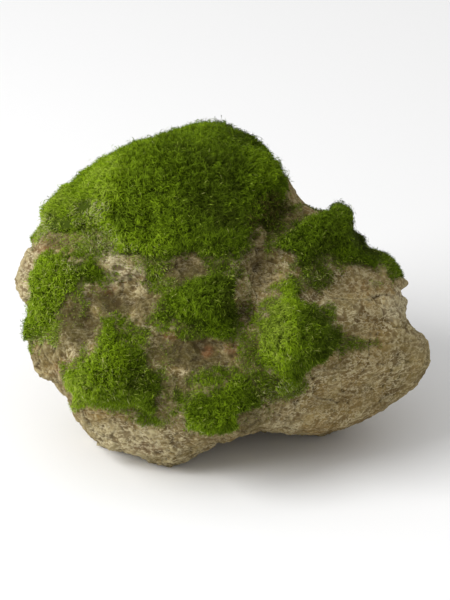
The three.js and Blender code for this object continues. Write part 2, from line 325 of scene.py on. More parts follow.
# Colours of the stone, linear, and its coats in the order they are laid: (mesh attribute, strength, colour)
# The dark earthy colour also paints shade into the recesses
SOIL_AND_SHADE = (0.066, 0.052, 0.014)
FLECK = (0.52, 0.45, 0.26)
BLOTCH = (0.120, 0.080, 0.038)
THREAD = (0.60, 0.53, 0.34)
FILM_GREEN = (0.085, 0.088, 0.018)
COATS = [
    # Painted shade in broad hollows
    ("hollow_shade", 0.6, (0.070, 0.047, 0.017)),
    ("rust", 0.8, (0.165, 0.066, 0.024)),
    # Painted shade in fine cracks
    ("crevice_shade", 0.8, (0.052, 0.036, 0.014)),
    ("flakes", 0.4, (0.39, 0.325, 0.165)),
    ("flecks", 0.7, FLECK),
    # Paler fine crests: partly wear, partly a painted highlight
    ("worn", 0.6, (0.43, 0.36, 0.185)),
    ("crust", 0.25, (0.55, 0.49, 0.33)),
]
BED_SCALE = (0.75, 0.75, 1.7)

# Studio: the picture is so high at the stone's middle, and the camera is far off with a long lens
PICTURE_HEIGHT = 0.3
LENS_MM = 400.0
SENSOR_MM = 36.0
KEY_PLACE = (-1.1, -0.45, 0.95)
KEY_SIZE = 1.0
KEY_WATTS = 23.0
SURROUND_STRENGTH = 0.65
FLOOR_SIZE = 12
FLOOR_COLOUR = (0.9, 0.9, 0.9, 1)


# Meshes as arrays of points and faces

def node_arrays(name):
    """A CAD node's points and triangles, with the corners that faces share joined."""
    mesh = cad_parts[name].data
    mesh.calc_loop_triangles()
    points = np.array([v.co for v in mesh.vertices])
    faces = np.array([t.vertices for t in mesh.loop_triangles])
    return welded(points, faces)


def welded(points, faces):
    """The same triangles with the points that lie together joined into one."""
    keys = np.round(points / (0.001 * MM)).astype(np.int64)
    _, first, joined = np.unique(keys, axis=0, return_index=True, return_inverse=True)
    faces = joined.reshape(-1)[faces]
    whole = (faces[:, 0] != faces[:, 1]) & (faces[:, 1] != faces[:, 2]) & (faces[:, 2] != faces[:, 0])
    return points[first], faces[whole]


def split(points, faces, parts):
    """Each triangle cut into parts by parts smaller ones, still joined along their edges."""
    steps = [(i, j) for i in range(parts + 1) for j in range(parts + 1 - i)]
    number = {step: n for n, step in enumerate(steps)}
    weights = np.array([(parts - i - j, i, j) for i, j in steps]) / parts
    small = [(number[i, j], number[i + 1, j], number[i, j + 1]) for i, j in steps if i + j < parts]
    small += [
        (number[i + 1, j], number[i + 1, j + 1], number[i, j + 1])
        for i, j in steps
        if i + j < parts - 1
    ]
    grid = np.einsum("gk,fkc->fgc", weights, points[faces]).reshape(-1, 3)
    offsets = np.arange(len(faces))[:, None, None] * len(steps)
    return welded(grid, (np.array(small)[None] + offsets).reshape(-1, 3))


def side_pairs(faces):
    """The point numbers at the ends of every face's sides, lower first."""
    return np.sort(np.concatenate([faces[:, [0, 1]], faces[:, [1, 2]], faces[:, [2, 0]]]), axis=1)


def refined(points, faces, longest):
    """Triangles halved at sides longer than the longest allowed at their points, until none is."""
    while True:
        pairs, inverse = np.unique(side_pairs(faces), axis=0, return_inverse=True)
        length = np.linalg.norm(points[pairs[:, 0]] - points[pairs[:, 1]], axis=1)
        too_long = length > longest[pairs].mean(axis=1)
        if not too_long.any():
            return points, faces
        number = np.where(too_long, len(points) + np.cumsum(too_long) - 1, -1)
        points = np.concatenate([points, points[pairs[too_long]].mean(axis=1)])
        longest = np.concatenate([longest, longest[pairs[too_long]].mean(axis=1)])
        faces = halved(faces, number[inverse.reshape(3, -1).T])


def halved(faces, middles):
    """Triangles cut at the middles of their sides, each given as a point number, or -1 for no cut."""
    cuts = (middles >= 0).sum(axis=1)
    alone = np.argmax(np.where(cuts[:, None] == 1, middles >= 0, middles < 0), axis=1)
    turn = np.where(cuts == 2, alone + 1, np.where(cuts == 1, alone, 0))
    order = (np.arange(3) + turn[:, None]) % 3
    a, b, c = np.take_along_axis(faces, order, axis=1).T
    ab, bc, ca = np.take_along_axis(middles, order, axis=1).T
    patterns = {
        0: [(a, b, c)],
        1: [(a, ab, c), (ab, b, c)],
        2: [(ab, b, bc), (a, ab, bc), (a, bc, c)],
        3: [(a, ab, ca), (ab, b, bc), (ca, bc, c), (ab, bc, ca)],
    }
    small = [np.stack(t, axis=1)[cuts == n] for n, triangles in patterns.items() for t in triangles]
    return np.concatenate(small)


def edges_of(faces):
    """Every edge once, as two point numbers."""
    return np.unique(side_pairs(faces), axis=0)


def rim_points(faces):
    """Numbers of the points on the open border of a sheet."""
    pairs, uses = np.unique(side_pairs(faces), axis=0, return_counts=True)
    return np.unique(pairs[uses == 1])


def gathered(index, values, count):
    """Sums of the rows of values that go to each of count places."""
    columns = [np.bincount(index, values[:, c], count) for c in range(values.shape[1])]
    return np.stack(columns, axis=1)


def neighbour_means(values, edges):
    """For each point, the mean of its neighbours' values."""
    a, b = edges[:, 0], edges[:, 1]
    count = len(values)
    sums = gathered(a, values[b], count) + gathered(b, values[a], count)
    uses = np.bincount(a, minlength=count) + np.bincount(b, minlength=count)
    return sums / np.maximum(uses, 1)[:, None]


def smoothed(values, edges, rounds):
    """Values after each has moved halfway to its neighbours' mean, several times."""
    for _ in range(rounds):
        values = 0.5 * values + 0.5 * neighbour_means(values, edges)
    return values


def unit(vectors):
    """Vectors of length one along each row."""
    return vectors / np.maximum(np.linalg.norm(vectors, axis=1), 1e-12)[:, None]


def face_crosses(points, faces):
    """Each face's normal, as long as twice its area."""
    a, b, c = points[faces[:, 0]], points[faces[:, 1]], points[faces[:, 2]]
    return np.cross(b - a, c - a)


def face_areas(points, faces):
    """Each face's area."""
    return np.linalg.norm(face_crosses(points, faces), axis=1) / 2


def point_normals(points, faces):
    """Normals at the points, from the faces around each."""
    crosses = face_crosses(points, faces)
    return unit(sum(gathered(faces[:, k], crosses, len(points)) for k in range(3)))


def smoothstep(low, high, values):
    """0 at low, 1 at high and a smooth rise between, also where low is above high."""
    t = np.clip((values - low) / (high - low), 0, 1)
    return t * t * (3 - 2 * t)


def tree_of(points):
    """A search tree of points."""
    tree = KDTree(len(points))
    for i, p in enumerate(points.tolist()):
        tree.insert(p, i)
    tree.balance()
    return tree


def nearest(points, others):
    """For each point, the number of the nearest of others and its distance."""
    tree = tree_of(others)
    found = [tree.find(p) for p in points.tolist()]
    return np.array([f[1] for f in found]), np.array([f[2] for f in found])


def mesh_object(name, points, faces, attributes, uv):
    """A new object from arrays, with a float attribute on its points for each name given."""
    mesh = bpy.data.meshes.new(name)
    mesh.vertices.add(len(points))
    mesh.vertices.foreach_set("co", np.ascontiguousarray(points, dtype=np.float32).ravel())
    mesh.loops.add(len(faces) * 3)
    mesh.loops.foreach_set("vertex_index", np.ascontiguousarray(faces, dtype=np.int32).ravel())
    mesh.polygons.add(len(faces))
    mesh.polygons.foreach_set("loop_start", np.arange(0, len(faces) * 3, 3, dtype=np.int32))
    mesh.polygons.foreach_set("use_smooth", np.full(len(faces), True))
    layer = mesh.uv_layers.new(name="OFBake")
    layer.data.foreach_set("uv", np.ascontiguousarray(uv, dtype=np.float32).ravel())
    for key, values in attributes.items():
        layer = mesh.attributes.new(key, "FLOAT", "POINT")
        layer.data.foreach_set("value", np.ascontiguousarray(values, dtype=np.float32))
    mesh.update(calc_edges=True)
    piece = bpy.data.objects.new(name, mesh)
    bpy.context.scene.collection.objects.link(piece)
    return piece


# Noise and places; the shift of a noise only sets it apart from the others

def noise_at(points, size, shift=0.0):
    """Smooth noise from about -1 to 1, with features about as large as size."""
    return np.array([noise.noise(p) for p in (points / size + shift).tolist()])


def noise_vectors(points, size, shift=0.0):
    """Smooth noise vectors, with features about as large as size."""
    return np.array([noise.noise_vector(p) for p in (points / size + shift).tolist()])


def rough_at(points, size, octaves, shift=0.0):
    """Fractal noise from about -1 to 1, with its largest features about as large as size."""
    return np.array([noise.fractal(p, 0.9, 2.1, octaves) for p in (points / size + shift).tolist()])


def ridged_at(points, size, octaves, shift=0.0):
    """Noise with sharp crests, from 0 to about 1, with its largest features about as large as size."""
    places = (points / size + shift).tolist()
    found = [noise.ridged_multi_fractal(p, 0.9, 2.2, octaves, 1.0, 2.0) for p in places]
    return np.clip(np.array(found) / 2.0, 0, 1.2)


def cells_at(points, size, shift=0.0):
    """For each point the distance to its nearest cell middle, and that middle, in cell sizes."""
    found = [noise.voronoi(p) for p in (points / size + shift).tolist()]
    near = np.array([d[0] for d, _ in found])
    middles = np.array([m[0] for _, m in found])
    return near, middles


def chips_at(points, size, shift=0.0):
    """Flat facets as on broken stone, one tilted plane to a cell."""
    _, middles = cells_at(points, size, shift)
    tilt = np.array([noise.cell_vector(m) for m in (middles * 7.3 + 0.31).tolist()]) - 0.5
    return (tilt * (points / size + shift - middles)).sum(axis=1)


def picture_place(points):
    """How far each point is across, up and toward the camera from the stone's middle, in millimetres."""
    away = (points - MIDDLE) / MM
    return away @ ACROSS, away @ UPWARD, away @ TOWARD


def marked(points, spots, ragged=0.0, near_side=True):
    """How strongly each point is marked by the spots of the picture, 0 to 1; ragged bends their borders."""
    x, up, toward = picture_place(points)
    most = np.zeros(len(points))
    for across, upward, reach_x, reach_up, amount in spots:
        away = np.sqrt(((x - across) / reach_x) ** 2 + ((up - upward) / reach_up) ** 2) + ragged
        most = np.maximum(most, amount * smoothstep(1.3, 0.5, away))
    return most * smoothstep(*FADE_BEHIND, toward) if near_side else most


def summed(points, spots, ragged=0.0):
    """The amounts of all the spots at each point added up, on both sides of the stone."""
    total = np.zeros(len(points))
    for across, upward, reach_x, reach_up, amount in spots:
        spot = [(across, upward, reach_x, reach_up, 1.0)]
        total = total + amount * marked(points, spot, ragged, near_side=False)
    return total


# Moss sheets

def worn_back(points):
    """How far in from its rim a cushion is worn away, in millimetres."""
    ragged = 0.35 * noise_at(points, 6 * MM, 4.8)
    worn = 1.6 + 3.2 * noise_at(points, 10 * MM, 2.9) + 1.6 * noise_at(points, 3.5 * MM, 5.3)
    return np.clip(worn, 0, 6) + CLEARED * marked(points, CLEAR, ragged, near_side=False)


def top_sheet(name):
    """The outer sheet of a CAD cushion, cut finer and smoothed, with its normals, how far its points are
    from its rim and how far it is worn back."""
    points, faces = node_arrays(name)
    middles = points[faces].mean(axis=1)
    outward = (unit(face_crosses(points, faces)) * unit(middles - MIDDLE)).sum(axis=1)
    faces = faces[outward > 0.15]
    used, inverse = np.unique(faces, return_inverse=True)
    points, faces = split(points[used], inverse.reshape(-1, 3), SHEET_SPLIT)
    edges = edges_of(faces)
    rim = rim_points(faces)
    held = points[rim]
    for _ in range(SHEET_SMOOTHING):
        points = smoothed(points, edges, 1)
        points[rim] = held
    _, from_rim = nearest(points, held)
    return {
        "points": points,
        "faces": faces,
        "normals": point_normals(points, faces),
        "from_rim": from_rim,
        "worn": worn_back(points) * MM,
    }


sheets = {name: top_sheet(name) for name in MOSS_NODES}


def moss_reach(points):
    """For each point the number of its nearest cushion, how far outside that cushion's rim it is, in
    millimetres and below zero under the cushion, and the same from the cushion's worn edge."""
    places = np.concatenate([sheets[n]["points"] for n in MOSS_NODES])
    inside = np.concatenate([sheets[n]["from_rim"] for n in MOSS_NODES])
    worn = np.concatenate([sheets[n]["worn"] for n in MOSS_NODES])
    owners = np.concatenate([np.full(len(sheets[n]["points"]), i) for i, n in enumerate(MOSS_NODES)])
    index, distance = nearest(points, places)
    reach = np.where(inside[index] < 0.4 * MM, distance - 1.3 * MM, -inside[index])
    return owners[index], reach / MM, (reach + worn[index]) / MM


def swell_at(points):
    """How far a cushion stands out from its CAD form, in millimetres."""
    return summed(points, SWELLS)


def film_at(points, reach, bared):
    """How thick the moss that grows on the stone itself is: 0 none, 1 as thick as a cushion."""
    edge = 1.2 + 2.8 * noise_at(points, 9 * MM, 3.3) + 1.6 * noise_at(points, 3 * MM, 7.7)
    fringe = 0.95 * smoothstep(edge + 2.6, edge - 2.0, reach)
    strays = 0.22 * smoothstep(10, 2, reach) * smoothstep(-0.1, 0.5, noise_at(points, 7 * MM, 1.1))
    ragged = 0.45 * noise_at(points, 6 * MM, 4.8) + 0.2 * noise_at(points, 2.5 * MM, 6.1)
    grown = np.maximum(np.maximum(fringe, strays), marked(points, FILM, ragged))
    grown = grown * (1 - marked(points, CLEAR, ragged, near_side=False))
    grown = grown * smoothstep(*FILM_FROM_FLOOR, points[:, 2] / MM)
    return np.maximum(grown, smoothstep(0, -2, bared))


# Stone

def layers_at(points):
    """How far the layers of the bare right face stand out, in millimetres."""
    x, up, _ = picture_place(points)
    bent = 2.2 * noise_at(points, 20 * MM, 6.6) + 0.7 * noise_at(points, 5 * MM, 4.1)
    height = up - LAYER_SLOPE * (x - 70) + bent
    broken = 0.7 + 0.8 * noise_at(points, 17 * MM, 7.2)
    lift = np.zeros(len(points))
    for top, depth, fade in LAYERS:
        below = top - height
        lift = lift + depth * smoothstep(-0.4, 0.5, below) * np.exp(-np.maximum(below, 0) / fade)
    return lift * np.clip(broken, 0, 1.3)


def flakes_at(points, size, cover, shift):
    """Patches with ragged borders, about as large as size, over a share of the stone, as 0 to 1."""
    height = rough_at(points, size, 6, shift)
    low, high = np.quantile(height, [1 - cover, 1 - 0.6 * cover])
    return smoothstep(low, high, height)


def stone_lift(points, bare, crusty, layered):
    """How far the rough surface stands out from the smooth stone, in millimetres."""
    bent = points + noise_vectors(points, 18 * MM) * 6 * MM + noise_vectors(points, 6 * MM, 2.3) * 1.6 * MM
    chips = chips_at(bent, CHIP_SIZE)
    small_chips = chips_at(bent, SMALL_CHIP_SIZE, 5.1)
    ridges = ridged_at(bent, RIDGE_SIZE, 6)
    rough = rough_at(points, ROUGH_SIZE, 7)
    grains, _ = cells_at(points + noise_vectors(points, 2 * MM) * 0.8 * MM, GRAIN_SIZE, 1.7)
    grit = noise_at(points, GRIT_SIZE, 4.4)
    pit_near, _ = cells_at(bent, PIT_SIZE, 3.7)
    pits = smoothstep(0.45, 0.12, pit_near) * smoothstep(0.0, 0.4, noise_at(points, 20 * MM, 2.1))
    lift = CHIP_LIFT * chips + SMALL_CHIP_LIFT * small_chips * (1 - 0.6 * layered)
    lift = lift + RIDGE_LIFT * (ridges - 0.5) * (1 - 0.6 * layered)
    lift = lift + ROUGH_LIFT * rough * (1 - 0.55 * layered)
    lift = lift + crusty * (GRAIN_LIFT * (0.5 - grains) + GRIT_LIFT * grit) + 0.08 * grit
    lift = lift - PIT_DEPTH * pits * (1 - 0.8 * layered)
    lift = lift + layers_at(points) * layered
    return lift * (0.25 + 0.75 * bare) - 0.5 * (1 - bare)


def dents_at(points):
    """How far the stone is cut back where the picture shows it, in millimetres."""
    return summed(points, DENTS, 0.3 * noise_at(points, 7 * MM, 1.9))


def cut_back(points, reach):
    """How far the stone is cut back, in millimetres: its dents, and deeper under a sunken cushion."""
    dents = dents_at(points)
    for_moss = -swell_at(points) * smoothstep(1, -3, reach)
    return dents + np.maximum(for_moss - np.maximum(dents, 0), 0)


def stone_base():
    """The stone cut finer and rounded, finest where it shows."""
    points, faces = split(*node_arrays("rock"), STONE_SPLIT)
    resting = points[:, 2] < 0.05 * MM
    edges = edges_of(faces)
    points = smoothed(points, edges, STONE_SMOOTHING)
    eased = marked(points, EASED)[:, None]
    points = points + eased * (smoothed(points, edges, EASING) - points)
    points[resting, 2] = 0.0
    _, _, bared = moss_reach(points)
    front = smoothstep(-0.25, 0.05, point_normals(points, faces) @ TOWARD)
    side = SIDE_BEHIND + (SIDE_IN_FRONT - SIDE_BEHIND) * front
    hidden = np.maximum(smoothstep(-2.5, -5.5, bared), resting)
    points, faces = refined(points, faces, side + (SIDE_UNDER_MOSS - side) * hidden)
    resting = points[:, 2] < 0.01 * MM
    points = smoothed(points, edges_of(faces), STONE_SMOOTHING)
    points[resting, 2] = 0.0
    return points, faces, resting


def stone_surface():
    """The rough stone, with what its colours and the moss on it read."""
    points, faces, resting = stone_base()
    edges = edges_of(faces)
    normals = unit(smoothed(point_normals(points, faces), edges, 4))
    owner, reach, bared = moss_reach(points)
    ragged = 0.5 * noise_at(points, 8 * MM, 3.9)
    crust = marked(points, PALE_CRUST, ragged)
    # Dark earthy patches, which also carry painted shade in the recesses
    earth_and_shade = marked(points, DARK_EARTH_AND_SHADE, ragged) * (1 - 0.8 * crust)
    beside_moss = 0.45 * smoothstep(6, 1, reach)
    patchy = smoothstep(0.0, 0.4, noise_at(points, 15 * MM, 9.1))
    crusty = np.maximum(np.maximum(beside_moss, 0.35 + 0.45 * patchy) * (1 - 0.85 * earth_and_shade), crust)
    x, _, toward = picture_place(points)
    layered = smoothstep(28, 50, x) * smoothstep(-22, -8, toward)
    flakes = flakes_at(points, FLAKE_SIZE, 0.55, 8.8) * np.clip(crust + 0.5 * patchy * (1 - earth_and_shade), 0, 1)
    flecks = flakes_at(points, FLECK_SIZE, 0.2, 2.2) * crusty
    lift = stone_lift(points, smoothstep(-5, 1, reach), crusty, layered) - cut_back(points, reach)
    lift = lift + FLAKE_LIFT * flakes + FLECK_LIFT * flecks
    moved = points + normals * (lift * MM)[:, None]
    moved[resting] = points[resting]
    moved[:, 2] = np.maximum(moved[:, 2], 0.0)
    after = point_normals(moved, faces)
    fine = ((moved - smoothed(moved, edges, 4)) * after).sum(axis=1) / MM
    coarse = ((moved - smoothed(moved, edges, 40)) * after).sum(axis=1) / MM
    attributes = {
        # Painted shade darkens fine cracks and broad hollows; fine crests come out paler, partly as wear and
        # partly as a painted highlight
        "crevice_shade": smoothstep(-0.05, -0.31, fine),
        "worn": smoothstep(0.03, 0.23, fine) * (1 - 0.8 * earth_and_shade),
        "hollow_shade": smoothstep(0.0, -1.2, coarse),
        "film": film_at(points, reach, bared),
        "crust": crust ** 4,
        "crusty": crusty,
        "flakes": flakes,
        "flecks": flecks,
        "earth_and_shade": earth_and_shade,
        "rust": marked(points, RUST, ragged),
    }
    return {
        "smooth": points,
        "points": moved,
        "tree": tree_of(moved),
        "faces": faces,
        "normals": after,
        "attributes": attributes,
        "owner": owner,
        "open": smoothstep(-2.5, -1.5, bared),
    }


def octahedral_map(points, faces):
    """Map places for each face corner, from its direction from the middle unfolded to a square."""
    directions = unit(points - MIDDLE)[faces]
    directions = directions / np.abs(directions).sum(axis=2, keepdims=True)
    side = np.where(directions.mean(axis=1) < 0, -1.0, 1.0)[:, None, :]
    below = directions[:, :, 2] < 0
    same_side = np.maximum(directions * side, 0) * side
    x = np.where(below, same_side[:, :, 0], directions[:, :, 0])
    y = np.where(below, same_side[:, :, 1], directions[:, :, 1])
    folded_x = (1 - np.abs(y)) * side[:, :, 0]
    folded_y = (1 - np.abs(x)) * side[:, :, 1]
    uv = np.stack([np.where(below, folded_x, x), np.where(below, folded_y, y)], axis=2)
    return (0.5 + 0.495 * uv).reshape(-1, 2)


# Materials

def new_material(name):
    """An empty material with a Principled shader, as (material, its nodes, its links, the shader)."""
    material = bpy.data.materials.new(name)
    material.use_nodes = True
    nodes, links = material.node_tree.nodes, material.node_tree.links
    return material, nodes, links, nodes["Principled BSDF"]


def ramp(nodes, links, value, stops):
    """A colour ramp of a value through stops of (place, linear colour or grey)."""
    node = nodes.new("ShaderNodeValToRGB")
    elements = node.color_ramp.elements
    while len(elements) < len(stops):
        elements.new(0.5)
    for element, (place, colour) in zip(elements, stops):
        element.position = place
        element.color = (*colour, 1) if isinstance(colour, tuple) else (colour, colour, colour, 1)
    links.new(value, node.inputs["Fac"])
    return node.outputs["Color"]


def attribute(nodes, name):
    """The value of a float attribute on the mesh."""
    node = nodes.new("ShaderNodeAttribute")
    node.attribute_name = name
    return node.outputs["Fac"]


def noise_texture(nodes, links, place, per_metre, detail, roughness=0.55):
    """Noise over object coordinates, with so many features to a metre."""
    node = nodes.new("ShaderNodeTexNoise")
    node.inputs["Scale"].default_value = per_metre
    node.inputs["Detail"].default_value = detail
    node.inputs["Roughness"].default_value = roughness
    links.new(place, node.inputs["Vector"])
    return node.outputs["Fac"]


def flattened(nodes, links, place):
    """Coordinates in which features come out wider than they are high, like beds in the stone."""
    node = nodes.new("ShaderNodeMapping")
    node.inputs["Scale"].default_value = BED_SCALE
    links.new(place, node.inputs["Vector"])
    return node.outputs["Vector"]


def mixed(nodes, links, kind, amount, first, second):
    """A colour mix; amount, first and second are sockets or constants."""
    node = nodes.new("ShaderNodeMix")
    node.data_type = "RGBA"
    node.blend_type = kind
    for index, value in ((0, amount), (6, first), (7, second)):
        if isinstance(value, bpy.types.NodeSocket):
            links.new(value, node.inputs[index])
        elif index == 0:
            node.inputs[index].default_value = value
        else:
            node.inputs[index].default_value = (*value, 1)
    return node.outputs[2]


def laid(nodes, links, name, most, colour, coat):
    """A colour with a coat laid over it, as strongly as a mesh attribute says, up to most."""
    amount = ramp(nodes, links, attribute(nodes, name), [(0.0, 0.0), (1.0, most)])
    return mixed(nodes, links, "MIX", amount, colour, coat)


def moss_material():
    """Shoots: darker toward the root as painted shade, tinted from dry brown through olive and green to
    straw.
    """
    material, nodes, links, shader = new_material("moss_shoots")
    tints = ramp(nodes, links, attribute(nodes, "tint"), [
        (0.0, (0.110, 0.082, 0.022)),
        (0.12, (0.058, 0.082, 0.005)),
        (0.42, (0.140, 0.225, 0.007)),
        (0.76, (0.310, 0.470, 0.012)),
        (0.88, (0.430, 0.470, 0.110)),
        (1.0, (0.600, 0.570, 0.340)),
    ])
    # Painted shade: each shoot darkens toward its root, and the mat takes the root's darkness
    shade = ramp(nodes, links, attribute(nodes, "along"), [(0.0, 0.25), (0.5, 0.7), (1.0, 1.0)])
    colour = mixed(nodes, links, "MULTIPLY", 1.0, tints, shade)
    links.new(colour, shader.inputs["Base Color"])
    shader.inputs["Roughness"].default_value = 0.75
    shader.inputs["Specular IOR Level"].default_value = 0.06
    return material


def stone_body(nodes, links, place, grain):
    """The stone's own colour: brown to tan, with slow changes of tone and a fine grain."""
    body = ramp(nodes, links, noise_texture(nodes, links, place, 70, 7, 0.62), [
        (0.30, (0.098, 0.066, 0.021)),
        (0.5, (0.190, 0.140, 0.052)),
        (0.70, (0.290, 0.224, 0.092)),
    ])
    tone = ramp(nodes, links, noise_texture(nodes, links, place, 24, 3), [
        (0.35, (0.86, 0.80, 0.72)),
        (0.5, (1.0, 1.0, 1.0)),
        (0.65, (1.12, 1.0, 0.86)),
    ])
    colour = mixed(nodes, links, "MULTIPLY", 1.0, body, tone)
    return mixed(nodes, links, "MULTIPLY", 1.0, colour, grain)


def crust_markings(nodes, links, place, colour):
    """A colour with pale specks, dark blotches and pale threads, strongest where the stone is crusty."""
    crusty = ramp(nodes, links, attribute(nodes, "crusty"), [(0.0, 0.05), (1.0, 0.9)])
    specks = ramp(nodes, links, noise_texture(nodes, links, place, 900, 3, 0.6), [(0.60, 0.0), (0.70, 0.8)])
    curls = noise_texture(nodes, links, flattened(nodes, links, place), 210, 4, 0.62)
    blotches = ramp(nodes, links, curls, [(0.41, 0.75), (0.475, 0.0)])
    threads = ramp(nodes, links, curls, [(0.47, 0.0), (0.49, 0.9), (0.505, 0.9), (0.53, 0.0)])
    for marks, paint in ((specks, FLECK), (blotches, BLOTCH), (threads, THREAD)):
        amount = mixed(nodes, links, "MULTIPLY", 1.0, marks, crusty)
        colour = mixed(nodes, links, "MIX", amount, colour, paint)
    return colour


def stone_material():
    """Tan stone: brown in its hollows as painted shade, brushed pale on its crests as wear and a painted
    highlight, with a green film where moss grows.
    """
    material, nodes, links, shader = new_material("tan_stone")
    place = nodes.new("ShaderNodeTexCoord").outputs["Object"]
    grit = noise_texture(nodes, links, place, 800, 5, 0.75)
    grain = ramp(nodes, links, grit, [(0.30, 0.6), (0.5, 1.0), (0.70, 1.4)])
    colour = stone_body(nodes, links, place, grain)
    # Dark earthy patches, which also carry painted shade in the recesses
    soil_and_shade = mixed(nodes, links, "MULTIPLY", 1.0, SOIL_AND_SHADE, grain)
    colour = laid(nodes, links, "earth_and_shade", 0.92, colour, soil_and_shade)
    for name, most, coat in COATS:
        colour = laid(nodes, links, name, most, colour, coat)
    colour = crust_markings(nodes, links, place, colour)
    colour = laid(nodes, links, "film", 0.8, colour, FILM_GREEN)
    links.new(colour, shader.inputs["Base Color"])
    shader.inputs["Roughness"].default_value = 0.9
    shader.inputs["Specular IOR Level"].default_value = 0.15
    bump = nodes.new("ShaderNodeBump")
    bump.inputs["Strength"].default_value = 0.8
    bump.inputs["Distance"].default_value = 0.8 * MM
    links.new(grit, bump.inputs["Height"])
    links.new(bump.outputs["Normal"], shader.inputs["Normal"])
    return material


# Pieces

def make_stone():
    """The stone, in place of its CAD node; returns the surface that the moss grows on."""
    surface = stone_surface()
    uv = octahedral_map(surface["smooth"], surface["faces"])
    piece = mesh_object("stone_surface", surface["points"], surface["faces"], surface["attributes"], uv)
    piece.data.materials.append(stone_material())
    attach(piece, "root")
    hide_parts("rock")
    return surface


def scattered(faces, weights, count, random):
    """Random places on faces chosen by weight, as point numbers and their shares."""
    chosen = random.choice(len(faces), count, p=weights / weights.sum())
    a, b = random.random((2, count))
    turned = a + b > 1
    a[turned], b[turned] = 1 - a[turned], 1 - b[turned]
    return faces[chosen], np.stack([1 - a - b, a, b], axis=1)


def between(values, corners, shares):
    """Values at scattered places, from those at the faces' corners."""
    if values.ndim == 1:
        return (values[corners] * shares).sum(axis=1)
    return (values[corners] * shares[:, :, None]).sum(axis=1)


def shoots_from(root, middle, tip, facing, half_width, tint, random):
    """Pointed leaves of two triangles each, bent where they are widest, their flat sides mostly outward."""
    count = len(root)
    across = np.cross(tip - root, facing + 0.45 * random.normal(0, 1, (count, 3)))
    half = unit(across) * half_width[:, None]
    points = np.stack([root, middle - half, middle + half, tip], axis=1).reshape(-1, 3)
    first = np.arange(count) * 4
    faces = np.stack([first, first + 2, first + 1, first + 1, first + 2, first + 3], axis=1).reshape(-1, 3)
    return points, faces, np.repeat(tint, 4), np.tile([0.0, 0.5, 0.5, 1.0], count)


def moss_tints(place, normal, shift, ragged, straw, random):
    """Tints of shoots: lighter on the side that faces the lamp, as painted light, with spots of painted
    light and painted shade, and dry brown places.
    """
    count = len(place)
    # Painted light: the tint rises on shoots that face the lamp's side
    tint = 0.36 + 0.24 * (normal @ PAINTED_LIGHT_SIDE) + 0.14 * noise_at(place, 30 * MM, 5.5)
    tint = tint + 0.07 * noise_at(place, 10 * MM, 7.4)
    # Painted light and painted shade: the tint rises in the light spots and falls in the shade spots
    tint = tint + 0.25 * marked(place, PAINTED_LIGHT_SPOTS, ragged) - 0.14 * marked(place, PAINTED_SHADE_SPOTS, ragged)
    tint = np.clip(tint + shift + 0.07 * random.normal(0, 1, count), 0.12, 0.8)
    fibres = marked(place, STRAW, ragged)
    pale = random.random(count) < straw + 0.5 * fibres
    tint = np.where(pale, random.uniform(0.74, 0.9 + 0.1 * fibres, count), tint)
    dry = random.random(count) < marked(place, DRY, ragged)
    return np.where(dry, random.uniform(0.0, 0.1, count), tint)


def height_over(surface, points, normals):
    """How far points on a cushion's sheet are above the stone under them, in millimetres."""
    found = [surface["tree"].find(p)[1] for p in points.tolist()]
    return ((points - surface["points"][found]) * normals).sum(axis=1) / MM


def cushion_places(sheet, areas, random):
    """Where a cushion's shoots stand: places and normals on its sheet, millimetres in from its worn rim, how
    thinly it grows there, and how far the borders of marks are bent there."""
    count = int(areas.sum() / MM ** 2 * SHOOTS_PER_MM2)
    corners, shares = scattered(sheet["faces"], areas, count, random)
    place = between(sheet["points"], corners, shares)
    ragged = 0.4 * noise_at(place, 6 * MM, 4.8)
    thin = marked(place, THIN, ragged)
    rim = between(sheet["from_rim"], corners, shares) / MM - worn_back(place)
    kept = (random.random(count) > thin) & (rim > random.normal(0, 0.6, count))
    normal = unit(between(sheet["normals"], corners[kept], shares[kept]))
    return place[kept], normal, rim[kept], thin[kept], ragged[kept]


def clumps_of(place, area, random):
    """For each shoot its clump's middle, how far off that is, 0 to 1, and the clump's tint and height."""
    clump_count = max(int(area / CLUMP_SPACING ** 2), 3)
    middles = place[random.choice(len(place), clump_count, replace=False)]
    owner, away = nearest(place, middles)
    spread = np.clip(away / CLUMP_SPACING, 0, 1)
    tint = random.normal(0, 1, clump_count)[owner]
    height = random.normal(0, 1, clump_count)[owner]
    return middles[owner], spread, tint, height


